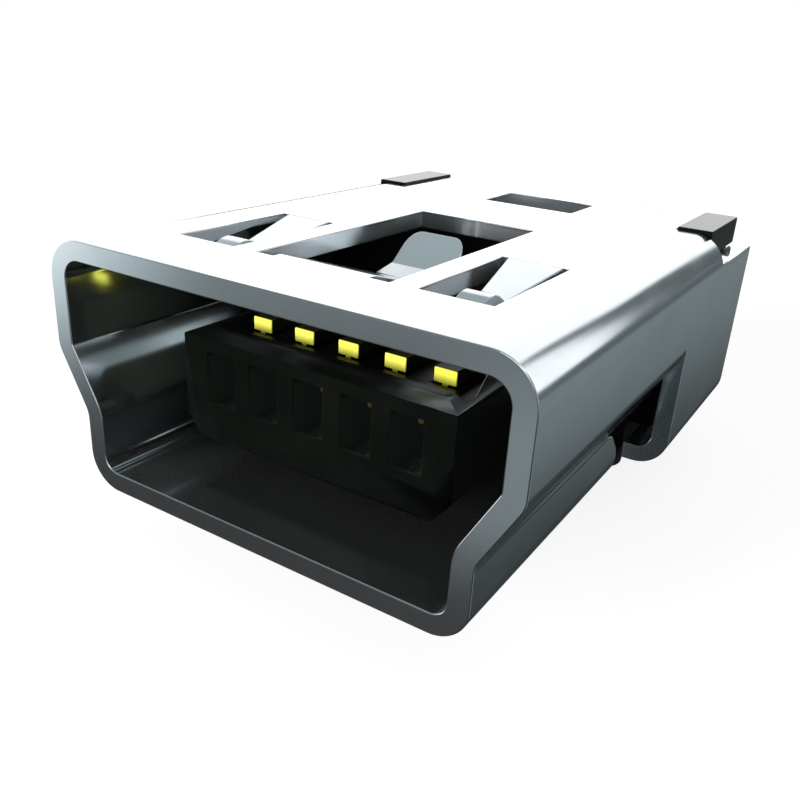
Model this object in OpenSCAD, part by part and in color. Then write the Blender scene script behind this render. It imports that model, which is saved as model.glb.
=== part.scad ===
// Surface-mount mini type-B socket: a folded sheet shell round a moulded insulator with five contacts.
// Millimetres. X across the mouth, Y into the socket, Z up from the board. The modules are drawn with the
// mouth's rim at y = 0, and each piece is placed with the middle of the two pegs at the origin.

/* [Mouth] */
// Clear width above the shoulders
mouth_w = 6.9; // [6.7:0.05:7.2]
// Clear height
mouth_h = 3.12; // [3.05:0.01:3.25]
// Clear width below the shoulders
mouth_low_w = 5.87; // [5.6:0.01:6]
// Height of the shoulders' upper bend above the underside of the floor
shoulder_top = 2.08; // [1.95:0.01:2.15]
// Height of the shoulders' lower bend above the underside of the floor
shoulder_foot = 1.15; // [1.05:0.01:1.25]

/* [Shell] */
// Thickness of the folded sheet
sheet_t = 0.3; // [0.25:0.01:0.32]
// Outer radius of the bends between roof and sides
roof_bend_r = 0.6; // [0.45:0.01:0.7]
// Outer radius of the bends between sides and floor
floor_bend_r = 0.53; // [0.4:0.01:0.6]
// Outer radius of the two bends of each shoulder
shoulder_r = 0.4; // [0.35:0.01:0.45]
// Length of the sides from the rim to the rear edge
shell_len = 10; // [9.8:0.05:10.5]
// Length of the keyed tube, up to the slit before the feet
tube_len = 5.95; // [5.8:0.05:6.05]
// Length of the floor
floor_len = 5.2; // [5:0.05:5.4]
// Where the lower wall starts to leave the shoulder
wall_cut_y = 4.1; // [3.8:0.05:4.4]
// Width of the slit between tube and feet
slit_w = 0.2; // [0.15:0.01:0.25]
// Height of the slit's round end above the underside of the floor
slit_h = 2.14; // [2:0.01:2.25]
// Width of the closed seam's groove along the floor's underside
seam_w = 0.04; // [0.02:0.01:0.1]
// Depth of that groove
seam_depth = 0.1; // [0.05:0.01:0.15]
// Start of that groove behind the rim
seam_y = 0.3; // [0.2:0.05:0.5]
// Length over which the lower wall's slanting end runs past the floor
wall_lean = 0.1; // [0.05:0.01:0.2]
// Height of the slanting end's lower bend above the underside of the floor
wall_bend_h = 0.66; // [0.5:0.01:0.8]
// Drop of the slanting end's upper bend below the shoulder
wall_bend_drop = 0.12; // [0.08:0.01:0.2]

/* [Feet and flap] */
// Height of the floor's underside above the board
board_gap = 0.05; // [0.02:0.01:0.1]
// Outer radius of the curl at the bottom of a foot
foot_r = 0.55; // [0.45:0.01:0.6]
// Length of the flat on which a foot is soldered
foot_flat = 0.2; // [0.1:0.01:0.3]
// Gap between the rear flap's edges and the sides
flap_gap = 0.1; // [0.08:0.01:0.2]
// Height of the rear flap's lower edge above the board
flap_low = 1.2; // [1:0.05:1.5]
// Outer radius of the bend between roof and flap
flap_bend_r = 0.45; // [0.4:0.01:0.5]

/* [Roof openings] */
// Front edge of the window and of the two slots
openings_y = 1.3; // [1.2:0.05:1.5]
// Width of the window
window_w = 2.16; // [2:0.02:2.3]
// Length of the window
window_len = 4.35; // [4.2:0.05:4.5]
// Distance of the tab's first bend behind the window's front edge
tab_root_in = 0.15; // [0.1:0.01:0.25]
// Width of the window's tab at its root
tab_root_w = 1.56; // [1.4:0.02:1.6]
// Width of the tab at its end
tab_end_w = 1.02; // [0.9:0.02:1.1]
// Length of the tab along the socket
tab_len = 3.1; // [3:0.05:3.15]
// Depth of the tab's bend below the roof
tab_drop = 0.61; // [0.5:0.01:0.62]
// Height of the tab's end above its level run
tab_rise = 0.46; // [0.4:0.01:0.48]
// Length of the tab's rising end
tab_rise_len = 0.5; // [0.4:0.02:0.6]
// Length of the tab's level run
tab_level_len = 0.42; // [0.3:0.02:0.5]
// Radius of the corners at the tab's end
tab_end_r = 0.25; // [0.2:0.01:0.3]
// Inner radius of the tab's bends
tab_bend_r = 0.12; // [0.08:0.01:0.15]
// Width of a slot
slot_w = 1.04; // [1:0.02:1.1]
// Length of a slot
slot_len = 2.3; // [2.2:0.05:2.4]
// Distance between the centres of the two slots
slot_pitch = 4.04; // [3.9:0.02:4.2]
// Width of a spring finger at its root
finger_root_w = 0.85; // [0.8:0.01:0.9]
// Width of a spring finger at its tip
finger_tip_w = 0.42; // [0.38:0.01:0.5]
// Depth of a finger's contact bend below the roof
finger_drop = 0.23; // [0.18:0.01:0.25]
// Depth of a finger's crest below the roof
finger_crest_drop = 0.02; // [0.01:0.01:0.04]
// Depth of a finger's tip below the roof
finger_tip_drop = 0.17; // [0.14:0.01:0.2]
// Inner radius of a finger's bends
finger_bend_r = 0.08; // [0.05:0.01:0.1]
// Width of the rear opening
rear_w = 1.8; // [1.6:0.05:2]
// Length of the rear opening
rear_len = 1.22; // [1.1:0.02:1.4]
// Front edge of the rear opening
rear_y = 7.66; // [7.5:0.02:7.8]

/* [Insulator] */
// Clearance between insulator and shell
fit_gap = 0.05; // [0.03:0.01:0.08]
// Depth of the mouth up to the insulator's body
mouth_depth = 6.25; // [6.2:0.05:6.4]
// Height of the body's underside above the board
body_low = 0.1; // [0.05:0.01:0.2]
// Width of the tongue
tongue_w = 4.64; // [4.5:0.02:4.7]
// Distance of the tongue's front face behind the rim
tongue_y = 1.08; // [1:0.02:1.2]
// Height of the tongue's underside above the underside of the floor
tongue_low = 0.74; // [0.7:0.02:0.8]
// Height of the floor between the contacts above the underside of the shell's floor
deck_h = 2.26; // [2.2:0.01:2.3]
// Height of the rounded lip above the deck
lip_h = 0.18; // [0.14:0.01:0.2]
// Width of the lip
lip_w = 0.42; // [0.35:0.01:0.45]
// Width of the rails that run back from the lip beside the contacts
rail_w = 0.3; // [0.26:0.01:0.32]
// Width of the rails where they meet the lip
rail_tip_w = 0.11; // [0.1:0.01:0.15]
// Length over which the rails widen
rail_run = 0.9; // [0.7:0.05:1.1]
// Width of the chamfers along the tongue's lower corners
chamfer_w = 0.28; // [0.2:0.01:0.3]
// Height of those chamfers
chamfer_h = 0.35; // [0.3:0.01:0.4]
// Width of a pocket in the tongue's front face
pocket_w = 0.48; // [0.4:0.01:0.52]
// Height of a pocket
pocket_h = 0.77; // [0.7:0.01:0.8]
// Depth of a pocket
pocket_depth = 0.8; // [0.7:0.01:0.85]
// Thickness of the deck above a pocket
pocket_cover = 0.13; // [0.1:0.01:0.16]
// Length of a corner lug
lug_len = 1.96; // [1.8:0.02:2]
// Distance of a lug before the rear edge
lug_inset = 0.24; // [0.15:0.01:0.35]
// Width of a corner lug
lug_w = 0.61; // [0.5:0.01:0.65]
// Height of a lug above the roof
lug_proud = 0.05; // [0.02:0.01:0.08]
// Depth of a lug's notch below the roof
notch_depth = 0.47; // [0.42:0.01:0.52]
// Gap between a lug and its notch
notch_gap = 0.03; // [0.02:0.01:0.05]
// Diameter of a locating peg
peg_d = 0.9; // [0.7:0.05:1]
// Distance between the two pegs
peg_pitch = 4.4; // [4.2:0.1:4.6]
// Distance of the pegs behind the rim
peg_y = 7.5; // [7.3:0.1:7.7]
// Length of the pegs below the board plane
peg_len = 0.8; // [0.6:0.05:1]

/* [Contacts] */
// Number of contacts
contact_count = 5; // [5:1:5]
// Distance between neighbouring contacts
pitch = 0.8; // [0.78:0.01:0.82]
// Width of a contact's beam
beam_w = 0.36; // [0.28:0.01:0.38]
// Thickness of the contact strip
strip_t = 0.22; // [0.18:0.01:0.23]
// Distance of the beams' front ends behind the rim
beam_y = 2; // [1.9:0.02:2.2]
// Width of the nose that holds a beam's end down
nose_w = 0.1; // [0.08:0.01:0.2]
// Distance of the noses' ends behind the tongue's front face
nose_depth = 0.35; // [0.3:0.01:0.5]
// Width of a solder tail
tail_w = 0.42; // [0.36:0.01:0.5]
// Height of a tail's wide part above the underside of the shell's floor
tail_h = 1; // [0.8:0.05:1.2]
// Length of the tails behind the shell
tail_len = 0.6; // [0.4:0.05:0.8]
// Distance of the tails' vertical runs before the rear edge
drop_inset = 0.75; // [0.7:0.05:0.85]
// Clearance round a contact in the insulator
contact_gap = 0.02; // [0.01:0.01:0.03]
// Clearance between a beam and the deck under it
beam_lift = 0.01; // [0.01:0.01:0.02]
// Inner radius of a contact's bends
contact_bend_r = 0.12; // [0.08:0.01:0.15]

/* [Hidden] */
$fn = 48;

// A cutter runs past the faces it opens by this much, or by the small amount where a wall is near
over = 1;
slight = 0.1;
// A piece that grows out of another reaches into it by this much
root = 0.2;

// Outer sizes of the shell
shell_w = mouth_w + 2 * sheet_t;
shell_h = mouth_h + 2 * sheet_t;
low_w = mouth_low_w + 2 * sheet_t;
roof_z = board_gap + shell_h;
panel_y = tube_len + slit_w;
inner_rear = shell_len - sheet_t;
roof_end = shell_len - flap_bend_r;
side_in = low_w / 2 - floor_bend_r;

// Spring finger, as fractions of its slot's length behind the front edge
finger_tip_y = openings_y + 0.13 * slot_len;
finger_crest_y = openings_y + 0.28 * slot_len;
finger_bend_y = openings_y + 0.43 * slot_len;
finger_root_y = openings_y + slot_len;

// Tab, measured back from its end
tab_root_y = openings_y + tab_root_in;
tab_end_y = openings_y + tab_len;
tab_rise_y = tab_end_y - tab_rise_len;
tab_bend_y = tab_rise_y - tab_level_len;
tab_low_z = roof_z - tab_drop;

// Lug notch
lug_y = shell_len - lug_inset - lug_len;
lug_in = mouth_w / 2 - lug_w;
notch_z = roof_z - notch_depth;

// Levels of the insulator and of the contacts
tongue_bottom = board_gap + tongue_low;
deck_z = board_gap + deck_h;
lip_z = deck_z + lip_h;
lip_foot_z = deck_z + 0.4 * lip_h;
beam_z = deck_z + beam_lift;
beam_top = beam_z + strip_t;
body_top = roof_z - sheet_t - fit_gap;
body_rear = inner_rear - fit_gap;
drop_y = shell_len - drop_inset;
tail_end = shell_len + tail_len;
tail_top = board_gap + tail_h;
pocket_top = deck_z - pocket_cover;
nose_top = pocket_top - contact_gap;
nose_low = nose_top - strip_t;
nose_y = tongue_y + nose_depth;
tongue_rear = mouth_depth + root;
edge_r = 0.05;
small_r = 0.03;

function unit(v) = v / norm(v);
function cross_z(a, b) = a.x * b.y - a.y * b.x;
function reversed(list) = [for (i = [len(list) - 1 : -1 : 0]) list[i]];
function mirrored(points) = concat(points, [for (p = reversed(points)) [-p.x, p.y]]);
function left_normal(a, b) = let (d = unit(b - a)) [-d.y, d.x];

// Points moved sideways by d, to the left of the way the outline runs
function miter(v, m, n, d) = v + d * (m + n) / (1 + m * n);
function moved_loop(p, d) = let (n = len(p)) [
    for (i = [0 : n - 1])
        miter(p[i], left_normal(p[(i + n - 1) % n], p[i]), left_normal(p[i], p[(i + 1) % n]), d)
];
function moved_line(p, d) = let (n = len(p)) [
    for (i = [0 : n - 1])
        let (before = left_normal(p[max(i - 1, 0)], p[max(i, 1)]),
             after = left_normal(p[min(i, n - 2)], p[min(i + 1, n - 1)]))
            miter(p[i], before, after, d)
];

// The sliver between a sharp corner and its arc, with its tip moved on past the corner
module spandrel(v, before, after, r) {
    a = unit(before - v);
    b = unit(after - v);
    half = acos(a * b) / 2;
    difference() {
        polygon([v + a * r / tan(half), v - unit(a + b) * r / 4, v + b * r / tan(half)]);
        translate(v + unit(a + b) * r / sin(half)) circle(r);
    }
}

// A counterclockwise outline with an arc of radius r[i] at each corner, 0 for a sharp one
module rounded(p, r) {
    n = len(p);
    turn = [for (i = [0 : n - 1]) cross_z(p[i] - p[(i + n - 1) % n], p[(i + 1) % n] - p[i])];
    difference() {
        union() {
            polygon(p);
            for (i = [0 : n - 1])
                if (r[i] > 0 && turn[i] < 0)
                    spandrel(p[i], p[(i + n - 1) % n], p[(i + 1) % n], r[i]);
        }
        for (i = [0 : n - 1])
            if (r[i] > 0 && turn[i] > 0)
                spandrel(p[i], p[(i + n - 1) % n], p[(i + 1) % n], r[i]);
    }
}

// A strip of thickness t below an open line that runs towards -X, bent with inner radius r
module bent_strip(p, t, r) {
    n = len(p);
    low = moved_line(p, t);
    turn = [for (i = [1 : n - 2]) cross_z(p[i] - p[i - 1], p[i + 1] - p[i])];
    top_r = concat([0], [for (s = turn) s > 0 ? r + t : r], [0]);
    low_r = concat([0], [for (s = turn) s > 0 ? r : r + t], [0]);
    rounded(concat(p, reversed(low)), concat(top_r, reversed(low_r)));
}

// A section in X and Z drawn in 2D, pushed along Y
module along_y(y0, y1) {
    translate([0, y1, 0]) rotate([90, 0, 0]) linear_extrude(y1 - y0) children();
}

// A side view in Y and Z drawn in 2D, pushed along X to both sides of x
module along_x(w, x = 0) {
    translate([x - w / 2, 0, 0]) rotate([90, 0, 90]) linear_extrude(w) children();
}

// A plan in X and Y pushed from z0 up to z1
module along_z(z0, z1) {
    translate([0, 0, z0]) linear_extrude(z1 - z0) children();
}

module both_sides() {
    children();
    mirror([1, 0, 0]) children();
}

// Closed keyed section: roof, sides, shoulders, lower walls and floor
module keyed_section() {
    outer = [
        [-low_w / 2, board_gap], [low_w / 2, board_gap],
        [low_w / 2, board_gap + shoulder_foot], [shell_w / 2, board_gap + shoulder_top],
        [shell_w / 2, roof_z], [-shell_w / 2, roof_z],
        [-shell_w / 2, board_gap + shoulder_top], [-low_w / 2, board_gap + shoulder_foot]
    ];
    half = [floor_bend_r, shoulder_r, shoulder_r, roof_bend_r];
    radii = [half[0], half[0], half[1], half[2], half[3], half[3], half[2], half[1]];
    grow = [-1, -1, 1, -1, -1, -1, -1, 1] * sheet_t;
    difference() {
        rounded(outer, radii);
        rounded(moved_loop(outer, sheet_t), radii + grow);
    }
}

// Roof, straight sides and curled feet
module footed_section() {
    outer = [[-shell_w / 2, 0], [shell_w / 2, 0], [shell_w / 2, roof_z], [-shell_w / 2, roof_z]];
    radii = [foot_r, foot_r, roof_bend_r, roof_bend_r];
    flat_in = shell_w / 2 - foot_r - foot_flat;
    difference() {
        rounded(outer, radii);
        rounded(moved_loop(outer, sheet_t), radii - [1, 1, 1, 1] * sheet_t);
        translate([-flat_in, -over]) square([2 * flat_in, over + sheet_t + foot_r]);
    }
}

// What leaves the sides of the tube: the lower wall's slanting end, the floor's end and the slit
module side_cut() {
    slit_r = slit_w / 2;
    top = board_gap + slit_h - slit_r;
    shoulder = board_gap + shoulder_foot;
    run = floor_len - wall_cut_y;
    rounded([
        [floor_len + wall_lean, -over], [panel_y, -over], [panel_y, top], [tube_len, top],
        [tube_len, shoulder], [wall_cut_y, shoulder], [wall_cut_y + 0.45 * run, shoulder - wall_bend_drop],
        [wall_cut_y + 0.75 * run, board_gap + wall_bend_h]
    ], [0, 0, 0, 0, 0.1, 0, 0.2, 0.3]);
    translate([tube_len + slit_r, top]) circle(slit_r);
}

module window_cut() {
    translate([-window_w / 2, openings_y]) square([window_w, window_len]);
}

module slot_cut() {
    translate([slot_pitch / 2 - slot_w / 2, openings_y]) square([slot_w, slot_len]);
}

module rear_cut() {
    translate([-rear_w / 2, rear_y]) square([rear_w, rear_len]);
}

// Tab of the window: down from its root, a short level run, then up to a round end
module tab() {
    intersection() {
        along_x(window_w)
            bent_strip([
                [tab_end_y, tab_low_z + slight + tab_rise], [tab_rise_y, tab_low_z + slight],
                [tab_bend_y, tab_low_z], [tab_root_y, roof_z], [openings_y - root, roof_z]
            ], sheet_t, tab_bend_r);
        along_z(0, roof_z + over)
            rounded([
                [-tab_root_w / 2, openings_y - over / 2], [tab_root_w / 2, openings_y - over / 2],
                [tab_root_w / 2, tab_root_y], [tab_end_w / 2, tab_end_y], [-tab_end_w / 2, tab_end_y],
                [-tab_root_w / 2, tab_root_y]
            ], [0, 0, 0, tab_end_r, tab_end_r, 0]);
    }
}

// Spring finger: down from its root to the contact bend, up to a crest and over at its tip
module finger() {
    x = slot_pitch / 2;
    intersection() {
        along_x(slot_w, x)
            bent_strip([
                [finger_root_y + root, roof_z], [finger_root_y, roof_z],
                [finger_bend_y, roof_z - finger_drop], [finger_crest_y, roof_z - finger_crest_drop],
                [finger_tip_y, roof_z - finger_tip_drop]
            ], sheet_t, finger_bend_r);
        along_z(0, roof_z + over)
            polygon([
                [x - finger_root_w / 2, finger_root_y], [x - finger_tip_w / 2, finger_bend_y],
                [x - finger_tip_w / 2, finger_tip_y - over / 2], [x + finger_tip_w / 2, finger_tip_y - over / 2],
                [x + finger_tip_w / 2, finger_bend_y], [x + finger_root_w / 2, finger_root_y],
                [x + finger_root_w / 2, finger_root_y + slight], [x - finger_root_w / 2, finger_root_y + slight]
            ]);
    }
}

// Rear flap: the roof folded down between the two sides
module flap() {
    w = 2 * (lug_in - notch_gap);
    lap_y = roof_end - slight;
    neck_z = notch_z - sheet_t;
    intersection() {
        along_x(mouth_w - 2 * flap_gap)
            rounded([
                [shell_len, flap_low], [shell_len, roof_z], [lap_y, roof_z], [lap_y, roof_z - sheet_t],
                [inner_rear, roof_z - sheet_t], [inner_rear, flap_low]
            ], [0, flap_bend_r, 0, 0, flap_bend_r - sheet_t, 0]);
        along_y(0, shell_len)
            polygon(mirrored([
                [mouth_w / 2 - flap_gap, 0], [mouth_w / 2 - flap_gap, neck_z], [w / 2, neck_z], [w / 2, roof_z]
            ]));
    }
}

module shell() color([0.78, 0.8, 0.82]) {
    difference() {
        union() {
            along_y(0, tube_len) keyed_section();
            along_y(tube_len, shell_len) footed_section();
        }
        // floor's end, slanting wall ends and slits
        both_sides()
            along_x(shell_w, side_in + shell_w / 2) side_cut();
        translate([-low_w / 2, floor_len, -over])
            cube([low_w, tube_len - floor_len, over + board_gap + floor_bend_r]);
        translate([-seam_w / 2, seam_y, board_gap - over]) cube([seam_w, tube_len, over + seam_depth]);
        // openings of the roof
        along_z(roof_z - sheet_t - slight, roof_z + over) {
            window_cut();
            both_sides() slot_cut();
            rear_cut();
        }
        // open rear corners for the lugs
        both_sides()
            translate([lug_in - notch_gap, lug_y - notch_gap, notch_z])
                cube([over, shell_len, over]);
        // the roof ends where the flap's bend starts
        translate([-mouth_w / 2, roof_end, roof_z - sheet_t - slight])
            cube([mouth_w, shell_len, over]);
    }
    tab();
    both_sides() finger();
    flap();
}

// Front view of the tongue: chamfered below, with flanks that slope up to the rails above
module tongue_front() {
    w = tongue_w / 2;
    flank_r = 0.4;
    rounded(mirrored([
        [w - chamfer_w, tongue_bottom], [w, tongue_bottom + chamfer_h], [w, lip_foot_z], [w - rail_w, lip_z]
    ]), [0, 0, edge_r, flank_r, flank_r, edge_r, 0, 0]);
}

// Side view of the tongue: a rounded lead-in above, a small one below
module tongue_side() {
    rounded([
        [tongue_y, lip_foot_z], [tongue_y, tongue_bottom], [tongue_rear, tongue_bottom],
        [tongue_rear, lip_z], [tongue_y + 0.55 * lip_w, lip_z]
    ], [small_r, small_r, 0, 0, 0.2]);
}

// Plan of the tongue
module tongue_plan() {
    w = tongue_w / 2;
    rounded([[-w, tongue_y], [w, tongue_y], [w, tongue_rear], [-w, tongue_rear]], [small_r, small_r, 0, 0]);
}

// Plan of the deck that is sunk inside the lip and the rails
module deck_plan() {
    w = tongue_w / 2;
    lip_rear = tongue_y + lip_w;
    rounded(reversed(mirrored([
        [w - rail_w, mouth_depth], [w - rail_w, lip_rear + rail_run], [w - rail_tip_w, lip_rear + root],
        [w - rail_tip_w, lip_rear]
    ])), [0, 0.3, 0.3, 0.1, 0.1, 0.3, 0.3, 0]);
}

module tongue() {
    difference() {
        intersection() {
            along_y(0, tongue_rear) tongue_front();
            along_x(tongue_w + over) tongue_side();
            along_z(0, roof_z) tongue_plan();
        }
        along_z(deck_z, roof_z) deck_plan();
    }
}

// Body: full width above the curls of the feet, narrow between them
module body_section() {
    wide = mouth_w / 2 - fit_gap;
    narrow = shell_w / 2 - foot_r - foot_flat - fit_gap;
    step = foot_r + slight;
    top_r = roof_bend_r - sheet_t;
    rounded(mirrored([
        [narrow, body_low], [narrow, step], [wide, step], [wide, body_top]
    ]), [edge_r, 0, edge_r, top_r, top_r, edge_r, 0, edge_r]);
}

// The body's rear top edge is rounded to lie in the flap's bend
module body() {
    intersection() {
        along_y(mouth_depth, body_rear) body_section();
        along_x(shell_w)
            rounded([
                [mouth_depth - over, -over], [body_rear, -over], [body_rear, body_top], [mouth_depth - over, body_top]
            ], [0, 0, flap_bend_r - sheet_t, 0]);
    }
}

module lug() {
    translate([lug_in, lug_y, notch_z + notch_gap])
        cube([lug_w, lug_len, roof_z + lug_proud - notch_z - notch_gap]);
}

module housing() color([0.1, 0.11, 0.11]) {
    difference() {
        union() {
            tongue();
            body();
            both_sides() lug();
            both_sides()
                translate([peg_pitch / 2, peg_y, -peg_len])
                    cylinder(h = peg_len + body_low + root, d = peg_d);
        }
        for (i = [0 : contact_count - 1]) {
            contact_channel(contact_x(i));
            pocket(contact_x(i));
        }
    }
}

function contact_x(i) = (i - (contact_count - 1) / 2) * pitch;

// Pocket in the tongue's front face, through which the nose is seen
module pocket(x) {
    translate([x - pocket_w / 2, tongue_y - over, pocket_top - pocket_h])
        cube([pocket_w, pocket_depth + over, pocket_h]);
}

// Room for a contact: the beam's slot, the drop's slot open to the rear, and the nose's well
module contact_channel(x) {
    w = beam_w + 2 * contact_gap;
    run_low = beam_z - contact_gap;
    run_top = beam_top + contact_gap;
    drop_front = drop_y - contact_gap;
    along_x(w, x)
        rounded([
            [mouth_depth - over, run_low], [drop_front, run_low], [drop_front, -over], [shell_len + over, -over],
            [shell_len + over, run_top], [mouth_depth - over, run_top]
        ], [0, contact_bend_r - contact_gap, 0, 0, 0, 0]);
    translate([x - tail_w / 2 - contact_gap, drop_front, -over])
        cube([tail_w + 2 * contact_gap, 2 * over, over + tail_top + contact_gap]);
    translate([x - w / 2, beam_y - contact_gap, nose_low - contact_gap])
        cube([w, strip_t + 2 * contact_gap, deck_z]);
    translate([x - nose_w / 2 - contact_gap, tongue_y + pocket_depth - slight, nose_low - contact_gap])
        cube([nose_w + 2 * contact_gap, beam_y - tongue_y - pocket_depth + 2 * slight, strip_t + 2 * contact_gap]);
}

// One contact: nose, beam on the deck, run through the body, drop and solder tail
module contact(x) color([0.93, 0.75, 0.2]) {
    along_x(beam_w, x)
        bent_strip([
            [drop_y + strip_t, board_gap], [drop_y + strip_t, beam_top], [beam_y, beam_top]
        ], strip_t, contact_bend_r);
    along_x(tail_w, x)
        bent_strip([
            [tail_end, strip_t], [drop_y + strip_t, strip_t], [drop_y + strip_t, tail_top]
        ], strip_t, contact_bend_r);
    along_x(nose_w, x)
        bent_strip([
            [beam_y, beam_z + strip_t / 2], [beam_y, nose_top], [nose_y, nose_top]
        ], strip_t, 0.02);
}

// The origin lies on the board plane, midway between the two pegs
module placed() {
    translate([0, -peg_y, 0]) children();
}

placed() shell();
placed() housing();
placed() contact(contact_x(0));  // contact_1
placed() contact(contact_x(1));  // contact_2
placed() contact(contact_x(2));  // contact_3
placed() contact(contact_x(3));  // contact_4
placed() contact(contact_x(4));  // contact_5
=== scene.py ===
import math
import bpy
import bmesh
from mathutils import Matrix, Vector


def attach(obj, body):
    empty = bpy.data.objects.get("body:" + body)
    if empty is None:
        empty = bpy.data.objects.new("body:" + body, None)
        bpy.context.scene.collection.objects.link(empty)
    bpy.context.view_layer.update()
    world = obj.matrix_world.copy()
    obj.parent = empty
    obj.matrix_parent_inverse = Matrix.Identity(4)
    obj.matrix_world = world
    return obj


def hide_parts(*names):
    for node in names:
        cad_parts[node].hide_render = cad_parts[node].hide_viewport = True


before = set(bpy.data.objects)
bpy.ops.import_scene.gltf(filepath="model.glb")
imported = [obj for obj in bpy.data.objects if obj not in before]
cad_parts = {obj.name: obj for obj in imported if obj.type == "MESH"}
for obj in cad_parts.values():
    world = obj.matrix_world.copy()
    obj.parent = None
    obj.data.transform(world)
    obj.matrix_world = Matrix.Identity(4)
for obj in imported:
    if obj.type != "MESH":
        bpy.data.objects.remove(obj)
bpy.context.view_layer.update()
print("frame loaded:", len(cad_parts), "nodes")

scene = bpy.context.scene
mm = 0.001

# Camera at the photograph's place; focal length and offsets in pixels of its 800 by 800 frame
cameraSettings = {
    "place": (6.43173, -14.50645, 6.48450),
    "right": (0.84296, 0.53471, 0.05920),
    "forward": (-0.47392, 0.79017, -0.38863),
    "focal": 824.335,
    "centre": (407.530, 391.813),
    "frame": 800,
    "sensor": 36,
    "near": 0.5,
    "far": 100000,
}


def makeCamera(settings):
    data = bpy.data.cameras.new("camera")
    camera = bpy.data.objects.new("camera", data)
    scene.collection.objects.link(camera)
    right = Vector(settings["right"]).normalized()
    back = -Vector(settings["forward"]).normalized()
    up = back.cross(right).normalized()
    turn = Matrix((right, up, back)).transposed().to_4x4()
    camera.matrix_world = Matrix.Translation(Vector(settings["place"]) * mm) @ turn
    size = settings["frame"]
    data.sensor_width = settings["sensor"]
    data.lens = settings["sensor"] * settings["focal"] / size
    data.shift_x = (size / 2 - settings["centre"][0]) / size
    data.shift_y = (settings["centre"][1] - size / 2) / size
    data.clip_start = settings["near"] * mm
    data.clip_end = settings["far"] * mm
    scene.camera = camera


makeCamera(cameraSettings)
print("camera placed")


class Value:
    # a number or vector that runs from one node to the next
    def __init__(self, finish, socket):
        self.finish = finish
        self.socket = socket

    def maths(self, operation, first, second):
        return self.finish.add("ShaderNodeMath", {"operation": operation}, {0: first, 1: second})

    def __add__(self, other):
        return self.maths("ADD", self, other)

    def __radd__(self, other):
        return self.maths("ADD", other, self)

    def __sub__(self, other):
        return self.maths("SUBTRACT", self, other)

    def __rsub__(self, other):
        return self.maths("SUBTRACT", other, self)

    def __mul__(self, other):
        return self.maths("MULTIPLY", self, other)

    def __rmul__(self, other):
        return self.maths("MULTIPLY", other, self)

    def __abs__(self):
        return self.finish.add("ShaderNodeMath", {"operation": "ABSOLUTE"}, {0: self})


class Finish:
    # a material, a world or anything else that has a node tree
    def __init__(self, owner):
        owner.use_nodes = True
        self.owner = owner
        self.tree = owner.node_tree
        self.tree.nodes.clear()

    def add(self, kind, settings=None, inputs=None, output=0):
        # one node: its type, its settings, the values or links of its sockets, and the output that goes on
        node = self.tree.nodes.new(kind)
        for name, value in (settings or {}).items():
            setattr(node, name, value)
        for name, value in (inputs or {}).items():
            self.feed(node.inputs[name], value)
        return Value(self, node.outputs[output]) if node.outputs else node

    def feed(self, socket, value):
        if isinstance(value, Value):
            self.tree.links.new(value.socket, socket)
        else:
            socket.default_value = value

    def mixColour(self, factor, first, second):
        inputs = {"Factor": factor, 6: first, 7: second}
        return self.add("ShaderNodeMix", {"data_type": "RGBA"}, inputs, 2)

    def place(self, stretch=(1, 1, 1)):
        # the object's own coordinates, in thousandths of a metre
        point = self.add("ShaderNodeTexCoord", output="Object")
        scale = [part / mm for part in stretch]
        return self.add("ShaderNodeVectorMath", {"operation": "MULTIPLY"}, {0: point, 1: scale})

    def part(self, vector, index):
        # one of a vector's three numbers
        return self.add("ShaderNodeSeparateXYZ", {}, {0: vector}, index)

    def parts(self, vector):
        return [self.part(vector, index) for index in range(3)]

    def normalPart(self, index):
        return self.part(self.add("ShaderNodeNewGeometry", output="Normal"), index)

    def noise(self, scale, detail, stretch=(1, 1, 1)):
        inputs = {"Vector": self.place(stretch), "Scale": scale, "Detail": detail}
        return self.add("ShaderNodeTexNoise", {}, inputs)

    def bump(self, height, strength, depth):
        inputs = {"Strength": strength, "Distance": depth * mm, "Height": height}
        return self.add("ShaderNodeBump", {}, inputs)

    def spread(self, value, low, high, lowest=0, highest=1):
        # a soft step from lowest to highest while the value goes from low to high
        inputs = {0: value, 1: low, 2: high, 3: lowest, 4: highest}
        return self.add("ShaderNodeMapRange", {"interpolation_type": "SMOOTHSTEP"}, inputs)

    def fade(self, value, low, high):
        return self.spread(value, low, high, 1, 0)

    def band(self, value, low, lowest, highest, high):
        # 1 between the two inner levels, 0 beyond the two outer ones
        return self.spread(value, low, lowest) * self.fade(value, highest, high)


def newMaterial(name):
    return Finish(bpy.data.materials.new(name))


def grey(level):
    return (level, level, level, 1)


def blend(mask, first, second):
    # the first number where the mask is 0, the second where it is 1
    return first * (1 - mask) + second * mask


noiseMiddle = 0.5  # the mean of a noise texture

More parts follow.
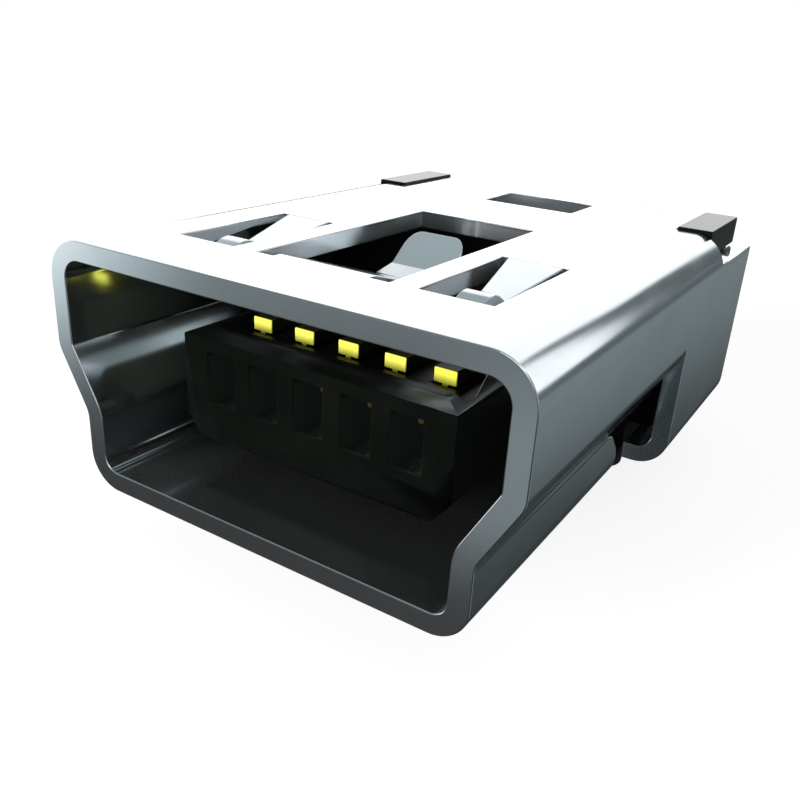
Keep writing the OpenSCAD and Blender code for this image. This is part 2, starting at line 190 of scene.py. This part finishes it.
# Plated sheet: rolled grain along the socket, faint stains, duller sheared edges;
# places here and in the other finishes are in thousandths of a metre, noise is scale, detail and stretch
sheetSettings = {
    "colour": (0.86, 0.90, 0.93, 1),
    "stain": (0.83, 0.87, 0.90, 1),
    "grain": (14, 3, (1, 0.06, 1)),
    "cloud": (0.9, 4),
    "stained": (0.45, 0.75),
    "roughness": 0.12,
    "roughnessSpread": 0.03,
    "stainRoughness": 0.03,
    "metal": 0.968,
    "cutRoughness": 0.25,
    "cutLevels": (3.46, 3.53, 3.71, 3.76),
    "cutHalfWidth": (2.95, 3.05),
    "cutLength": (-7.3, -7.2, 2.2, 2.3),
    "cutSteep": (0.3, 0.6),
    "tornEnd": (-0.6, -0.2),
    "tornMetal": 0.88,
    "slotSide": (1.3, 1.4),
    "slotEnd": (-4.6, -4.25),
    "slotSlant": 0.32,
    "slotRoughness": 0.95,
    "burnish": 0.02,
    "edgeFlat": (0.9, 0.98),
    "edgeTop": (3.31, 3.4),
    "edgeSide": (3.4, 3.46),
}


def makeSheetFinish(settings):
    finish = newMaterial("platedSheet")
    grain = finish.noise(*settings["grain"])
    stain = finish.spread(finish.noise(*settings["cloud"]), *settings["stained"])
    colour = finish.mixColour(stain, settings["colour"], settings["stain"])
    roughness = settings["roughness"] + settings["roughnessSpread"] * (grain - noiseMiddle)
    roughness = roughness + settings["stainRoughness"] * stain
    across, along, height = finish.parts(finish.place())
    aside = abs(across)
    facing = abs(finish.normalPart(2))
    # walls of the openings, within the thickness of the roof
    cut = finish.band(height, *settings["cutLevels"]) * finish.fade(aside, *settings["cutHalfWidth"])
    cut = cut * finish.band(along, *settings["cutLength"]) * finish.fade(facing, *settings["cutSteep"])
    # the outer walls of the slots are roughest, and those of the window are torn
    inSlot = finish.fade(along + settings["slotSlant"] * across, *settings["slotEnd"])
    inSlot = inSlot * finish.spread(aside, *settings["slotSide"])
    cutRoughness = blend(inSlot, settings["cutRoughness"], settings["slotRoughness"])
    roughness = blend(cut, roughness, cutRoughness)
    torn = cut * finish.fade(along, *settings["tornEnd"]) * (1 - inSlot)
    metal = blend(torn, settings["metal"], settings["tornMetal"])
    # top edges of the sides, burnished by the punch
    edge = finish.spread(facing, *settings["edgeFlat"]) * finish.fade(height, *settings["edgeTop"])
    edge = edge * finish.spread(aside, *settings["edgeSide"])
    roughness = blend(edge, roughness, settings["burnish"])
    shader = finish.add("ShaderNodeBsdfPrincipled", {}, {
        "Base Color": colour, "Metallic": metal, "Roughness": roughness,
    })
    finish.add("ShaderNodeOutputMaterial", {}, {"Surface": shader})
    return finish.owner


# Black moulding: fine spark-eroded grain, smoother where it faces up, with the corner lugs' tops polished
mouldingSettings = {
    "colour": (0.0028, 0.0036, 0.0026, 1),
    "pale": (0.0045, 0.0055, 0.0042, 1),
    # painted light: drawn is a paler colour for walls facing sideways, dull a painted grey for the lugs'
    # sides
    "drawn": (0.018, 0.022, 0.016, 1),
    "paintedWallSteep": (0.8, 0.95),
    "paintedWallTop": (2.9, 3),
    "paintedLugSide": (0.09, 0.11, 0.095, 1),
    # painted light: a faint glow for the depth of the pockets
    "pocketPaintedLight": (0.0034, 0.0042, 0.0036, 1),
    "pocketDepth": (-6.415, -6.39),
    "pocketWidth": (2.05, 2.1),
    "pocketLevels": (0.85, 0.95, 2.1, 2.15),
    "cloud": (1.5, 3),
    "clouded": (0.4, 0.8),
    "roughness": 0.34,
    "roughnessSpread": 0.1,
    "sheen": 0.07,
    "upward": (0.8, 0.9),
    "upwardPolish": 0.1,
    "slope": (0.95, 0.99),
    "slopePolish": (0.07, 0.93),
    "slopeEnd": (1.3, 1.8),
    "lugLevels": (3.6, 3.75),
    "lugPolish": 1,
    "polishIor": 5,
    "coatRoughness": 0.3,
    "grain": (30, 3),
    "grainStrength": 0.2,
    "grainDepth": 0.0015,
}


def makeMouldingFinish(settings):
    finish = newMaterial("blackMoulding")
    fine = finish.noise(*settings["grain"])
    cloud = finish.spread(finish.noise(*settings["cloud"]), *settings["clouded"])
    colour = finish.mixColour(cloud, settings["colour"], settings["pale"])
    roughness = settings["roughness"] + settings["roughnessSpread"] * (fine - noiseMiddle)
    across, along, height = finish.parts(finish.place())
    # painted light: a faint glow in the depth of the pockets, for the least light that reaches them
    deep = finish.spread(along, *settings["pocketDepth"]) * finish.band(height, *settings["pocketLevels"])
    deep = deep * finish.fade(abs(across), *settings["pocketWidth"])
    glow = finish.mixColour(deep, grey(0), settings["pocketPaintedLight"])
    # painted light: walls along the draw of the mould, facing sideways, are paler; the lugs' sides are a
    # painted dull grey
    steep = finish.spread(abs(finish.normalPart(0)), *settings["paintedWallSteep"])
    lugSide = finish.spread(height, *settings["paintedWallTop"])
    colour = finish.mixColour(steep * (1 - lugSide), colour, settings["drawn"])
    # polish of what faces up: least on the deck, more on the lip's right end, most on the lugs
    facing = finish.normalPart(2)
    level = finish.spread(facing, *settings["slope"])
    onLug = finish.spread(height, *settings["lugLevels"])
    least, more = settings["slopePolish"]
    lip = least + more * finish.spread(across, *settings["slopeEnd"])
    polish = blend(onLug, blend(level, lip, settings["upwardPolish"]), settings["lugPolish"])
    polish = polish * finish.spread(facing, *settings["upward"])
    shader = finish.add("ShaderNodeBsdfPrincipled", {}, {
        "Base Color": colour, "Roughness": roughness, "Specular IOR Level": settings["sheen"],
        "Normal": finish.bump(fine, settings["grainStrength"], settings["grainDepth"]),
        "Coat Weight": polish, "Coat Roughness": settings["coatRoughness"],
        "Coat IOR": settings["polishIor"], "Emission Color": glow, "Emission Strength": 1,
    })
    # painted tone: a dull grey without sheen for the lugs' sides
    paintedLugSide = finish.add("ShaderNodeBsdfPrincipled", {}, {
        "Base Color": settings["paintedLugSide"], "Roughness": 1, "Specular IOR Level": 0,
    })
    shader = finish.add("ShaderNodeMixShader", {}, {0: steep * lugSide, 1: shader, 2: paintedLugSide})
    finish.add("ShaderNodeOutputMaterial", {}, {"Surface": shader})
    return finish.owner


# Contact strips: bright gold plate at the beams' front ends and tails, near-black bronze as painted shade
# behind and below
goldSettings = {
    "count": 5,
    "gold": (1, 0.99, 0.15, 1),
    # the worn gold also carries painted shade on the right-hand contact
    "goldWornAndShaded": (0.92, 0.89, 0.1, 1),
    "wearAndShade": (0.35, 0.75),
    "shadedSide": (1, 1.4),
    # painted shade: near-black bronze on the beams' tops behind the front faces and on their noses
    "paintedShadeBronze": (0.03, 0.028, 0.006, 1),
    "goldEnd": (-5.497, -5.48),
    "goldLow": (2.2, 2.3),
    "goldTail": (1.2, 1.5),
    "metal": 0.05,
    "sheen": 0.2,
    "roughness": 0.36,
    "roughnessSpread": 0.1,
    "grain": (20, 2, (1, 0.1, 1)),
    "grainStrength": 0.15,
    "grainDepth": 0.001,
}


def makeGoldFinish(settings):
    finish = newMaterial("goldPlate")
    drawn = finish.noise(*settings["grain"])
    across, along, height = finish.parts(finish.place())
    # wear from the grain noise, and painted shade on the right-hand contact
    wearAndShade = finish.spread(drawn, *settings["wearAndShade"]) + finish.spread(across, *settings["shadedSide"])
    colour = finish.mixColour(wearAndShade, settings["gold"], settings["goldWornAndShaded"])
    # painted shade: behind the front faces and below the deck the plate turns near-black; the tails keep the
    # gold
    unshaded = finish.fade(along, *settings["goldEnd"]) * finish.spread(height, *settings["goldLow"])
    unshaded = unshaded + finish.spread(along, *settings["goldTail"])
    colour = finish.mixColour(unshaded, settings["paintedShadeBronze"], colour)
    shader = finish.add("ShaderNodeBsdfPrincipled", {}, {
        "Base Color": colour, "Metallic": settings["metal"], "Specular IOR Level": settings["sheen"],
        "Normal": finish.bump(drawn, settings["grainStrength"], settings["grainDepth"]),
        "Roughness": settings["roughness"] + settings["roughnessSpread"] * (drawn - noiseMiddle),
    })
    finish.add("ShaderNodeOutputMaterial", {}, {"Surface": shader})
    return finish.owner


# Each solid is carried over with its edges broken by a small round, as stamping and moulding leave them;
# lengths in thousandths of a metre, angles in degrees, room and clear in widths of the round
edgeSettings = {
    "shell": 0.018,
    "housing": 0.03,
    "contact": 0.02,
    "sharp": 50,
    "flat": 0.3,
    "weld": 0.0002,
    "segments": 2,
    "profile": 0.5,
    "room": 1.6,
    "clear": 1.5,
    "attempts": 6,
    "folded": 105,
}


def newPiece(name, mesh, material):
    piece = bpy.data.objects.new(name, mesh)
    scene.collection.objects.link(piece)
    mesh.materials.append(material)
    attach(piece, "root")
    return piece


def areaNormals(mesh):
    # large faces count for most at each point, so that flat faces stay flat and only the rounds are shaded
    normals = [Vector() for _ in mesh.vertices]
    for face in mesh.polygons:
        share = (face.area / mm ** 2) ** 2
        for index in face.vertices:
            normals[index] += face.normal * share
    mesh.shade_smooth()
    mesh.normals_split_custom_set_from_vertices([normal.normalized() for normal in normals])


def edgeRoom(edge):
    # how far the narrower of the two faces reaches away from the edge
    return min(face.calc_area() for face in edge.link_faces) / edge.calc_length()


def worthRounding(edge, width, settings, folds):
    if len(edge.link_faces) != 2 or not edge.is_convex:
        return False
    if edge.calc_face_angle() < math.radians(settings["sharp"]) or edgeRoom(edge) < settings["room"] * width:
        return False
    clear = settings["clear"] * width
    return all((corner.co - fold).length > clear for corner in edge.verts for fold in folds)


def foldPlaces(shape, settings):
    limit = math.radians(settings["folded"])
    return [edge.verts[0].co.lerp(edge.verts[1].co, 0.5) for edge in shape.edges
            if len(edge.link_faces) == 2 and edge.calc_face_angle(0) > limit]


def roundEdges(shape, width, settings):
    # rounds that fold over themselves are left out and the rest is cut again
    folds = []
    before = -1
    for _ in range(settings["attempts"]):
        trial = shape.copy()
        bmesh.ops.bevel(
            trial, geom=[edge for edge in trial.edges if worthRounding(edge, width, settings, folds)],
            offset=width, offset_type="OFFSET", segments=settings["segments"], profile=settings["profile"],
            affect="EDGES", clamp_overlap=False, miter_outer="SHARP", miter_inner="SHARP", loop_slide=True,
        )
        fresh = foldPlaces(trial, settings)
        if len(fresh) in (0, before):
            break
        before = len(fresh)
        folds += fresh
    return trial


def breakEdges(source, name, width, settings):
    shape = bmesh.new()
    shape.from_mesh(source)
    bmesh.ops.scale(shape, vec=Vector((1, 1, 1)) / mm, verts=shape.verts)
    bmesh.ops.remove_doubles(shape, verts=shape.verts, dist=settings["weld"])
    flat = math.radians(settings["flat"])
    bmesh.ops.dissolve_limit(shape, angle_limit=flat, verts=shape.verts, edges=shape.edges)
    shape = roundEdges(shape, width, settings)
    bmesh.ops.scale(shape, vec=Vector((1, 1, 1)) * mm, verts=shape.verts)
    mesh = bpy.data.meshes.new(name)
    shape.to_mesh(mesh)
    shape.free()
    areaNormals(mesh)
    return mesh


def carryOver(nodeName, pieceName, width, material):
    mesh = breakEdges(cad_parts[nodeName].data, pieceName, width, edgeSettings)
    piece = newPiece(pieceName, mesh, material)
    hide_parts(nodeName)


platedSheet = makeSheetFinish(sheetSettings)
carryOver("shell", "foldedShell", edgeSettings["shell"], platedSheet)
blackMoulding = makeMouldingFinish(mouldingSettings)
carryOver("housing", "blackHousing", edgeSettings["housing"], blackMoulding)
goldPlate = makeGoldFinish(goldSettings)
for number in range(1, goldSettings["count"] + 1):
    carryOver(f"contact_{number}", f"goldContact{number}", edgeSettings["contact"], goldPlate)
print("pieces carried over")

# Pale floor under the pegs, white sky, a soft front lamp and a tent that only reflections see;
# lengths in thousandths of a metre, the lamp's width in degrees
studioSettings = {
    "floorLevel": -0.8,
    "floorHalf": 3000,
    "floorColour": 0.3,
    "floorRoughness": 0.8,
    "floorSheen": 0.1,
    "floorLift": 0.86,
    "skySeen": 1.0,
    "skyLight": 0.35,
    "lampStrength": 4.7,
    "lampFrom": (-0.42, -0.9, 0.16),
    "lampSize": 20,
    "tentRadius": 1500,
    "tentCuts": 4,
}


def newMesh(name, build):
    mesh = bpy.data.meshes.new(name)
    shape = bmesh.new()
    build(shape)
    shape.to_mesh(mesh)
    shape.free()
    piece = bpy.data.objects.new(name, mesh)
    scene.collection.objects.link(piece)
    return piece


def makeFloor(settings):
    half = settings["floorHalf"] * mm
    level = settings["floorLevel"] * mm
    corners = [(-half, -half, level), (half, -half, level), (half, half, level), (-half, half, level)]
    floor = newMesh("floor", lambda shape: shape.faces.new([shape.verts.new(place) for place in corners]))
    finish = newMaterial("paleFloor")
    seen = finish.add("ShaderNodeLightPath", output="Is Camera Ray")
    lift = finish.mixColour(seen, grey(0), grey(settings["floorLift"]))
    shader = finish.add("ShaderNodeBsdfPrincipled", {}, {
        "Base Color": grey(settings["floorColour"]), "Roughness": settings["floorRoughness"],
        "Specular IOR Level": settings["floorSheen"], "Emission Color": lift, "Emission Strength": 1,
    })
    finish.add("ShaderNodeOutputMaterial", {}, {"Surface": shader})
    floor.data.materials.append(finish.owner)
    floor.visible_glossy = False


def makeSky(settings):
    world = bpy.data.worlds.new("sky")
    scene.world = world
    finish = Finish(world)
    seen = finish.add("ShaderNodeLightPath", output="Is Camera Ray")
    seen = seen + finish.add("ShaderNodeLightPath", output="Is Glossy Ray")
    seen = seen + finish.add("ShaderNodeLightPath", output="Is Transmission Ray")
    strength = finish.spread(seen, 0, 1, settings["skyLight"], settings["skySeen"])
    shader = finish.add("ShaderNodeBackground", {}, {"Color": grey(1), "Strength": strength})
    finish.add("ShaderNodeOutputWorld", {}, {"Surface": shader})


def makeLamp(settings):
    data = bpy.data.lights.new("frontLamp", "SUN")
    data.energy = settings["lampStrength"]
    data.angle = math.radians(settings["lampSize"])
    lamp = bpy.data.objects.new("frontLamp", data)
    lamp.rotation_euler = Vector(settings["lampFrom"]).to_track_quat("Z", "Y").to_euler()
    lamp.visible_glossy = False
    scene.collection.objects.link(lamp)


def reflectionOnly(card):
    card.visible_camera = False
    card.visible_diffuse = False
    card.visible_shadow = False
    card.visible_transmission = False


# What the plating mirrors: white sky, darker bluish ground, and soft cards, with angles in degrees
tentSettings = {
    "sky": 1.16,
    "zenith": 0.38,
    "zenithRange": (32, 44),
    "horizon": (-3, 3),
    "tint": (0.87, 1.03, 1.07, 1),
    "tintRange": (0.6, 1.0),
    "rearGround": (0.04, 0.2),
    "rearTilt": (0.747, 0.664),
    "rearRange": (-0.14, -0.01),
    "leftGround": 1.0,
    "leftRange": (0.05, -0.15),
    "leftLevels": (-19, -11),
    "frontGround": (0, 0.15),
    "frontRange": (-29, -14),
    "behindRange": (-0.2, 0.2),
    # azimuth from the rear towards the right, height, half width, half height, softness, slant, brightness
    "cards": [
        (17.3, 13, 1.2, 14, 3.5, 0.32, 0.09),
        (13.5, 7, 1.5, 7, 3, 0, 0.06),
        (21, -3.5, 12, 1.5, 5, 0, 0.11),
        (33, 15, 11, 11, 3, 0, 1.16),
        (17, 9, 3, 7, 4, 0.3, 0.1),
        (39, 26, 3, 5, 6, 0, 0.1),
        (72, 24, 24, 20, 4, 0, 0.17),
        (120, 12, 24, 22, 8, 0, 0.2),
        (95, 54, 20, 5, 7, 0, 2.1),
        (-141, 26, 22, 24, 6, 0, 0.12),
        (-112, -5, 9, 3.5, 15, 0, 1.25),
        (-158, -27, 3, 3, 7, 0, 0.19),
        (-31, 8, 12, 6, 5, 0, 1.8),
        (-31, -17, 14, 20, 5, 0, 0.05),
        (-180, -22, 14, 8, 4, 0, 0.03),
    ],
}


def addCard(finish, glow, azimuth, height, card):
    cardAzimuth, cardHeight, halfWidth, halfHeight, softness, slant, brightness = card
    above = height - cardHeight
    turned = azimuth - cardAzimuth + slant * above
    turned = finish.add("ShaderNodeMath", {"operation": "WRAP"}, {0: turned, 1: -180, 2: 180})
    inside = finish.fade(abs(turned), halfWidth, halfWidth + softness)
    inside = inside * finish.fade(abs(above), halfHeight, halfHeight + softness)
    return blend(inside, glow, brightness)


def makeTent(studio, settings):
    cuts, radius = studio["tentCuts"], studio["tentRadius"] * mm
    tent = newMesh("tent", lambda shape: bmesh.ops.create_icosphere(shape, subdivisions=cuts, radius=radius))
    finish = newMaterial("tent")
    point = finish.add("ShaderNodeTexCoord", output="Object")
    way = finish.add("ShaderNodeVectorMath", {"operation": "NORMALIZE"}, {0: point})
    across, along, upward = finish.parts(way)
    azimuth = finish.add("ShaderNodeMath", {"operation": "ARCTAN2"}, {0: across, 1: along})
    azimuth = azimuth * math.degrees(1)
    height = finish.add("ShaderNodeMath", {"operation": "ARCSINE"}, {0: upward}) * math.degrees(1)
    sky = finish.spread(height, *settings["zenithRange"], settings["sky"], settings["zenith"])
    tilt = across * settings["rearTilt"][0] + upward * settings["rearTilt"][1]
    right = finish.spread(tilt, *settings["rearRange"], *settings["rearGround"])
    left = finish.spread(across, *settings["leftRange"]) * finish.spread(height, *settings["leftLevels"])
    rear = blend(left, right, settings["leftGround"])
    front = finish.spread(height, *settings["frontRange"], *settings["frontGround"])
    ground = blend(finish.spread(along, *settings["behindRange"]), front, rear)
    glow = blend(finish.spread(height, *settings["horizon"]), ground, sky)
    for card in settings["cards"]:
        glow = addCard(finish, glow, azimuth, height, card)
    colour = finish.mixColour(finish.spread(glow, *settings["tintRange"]), settings["tint"], grey(1))
    shader = finish.add("ShaderNodeEmission", {}, {"Color": colour, "Strength": glow})
    finish.add("ShaderNodeOutputMaterial", {}, {"Surface": shader})
    finish.owner.cycles.emission_sampling = "NONE"
    tent.data.materials.append(finish.owner)
    reflectionOnly(tent)


makeFloor(studioSettings)
makeSky(studioSettings)
makeLamp(studioSettings)
makeTent(studioSettings, tentSettings)
scene.view_settings.view_transform = "Standard"
print("studio made")
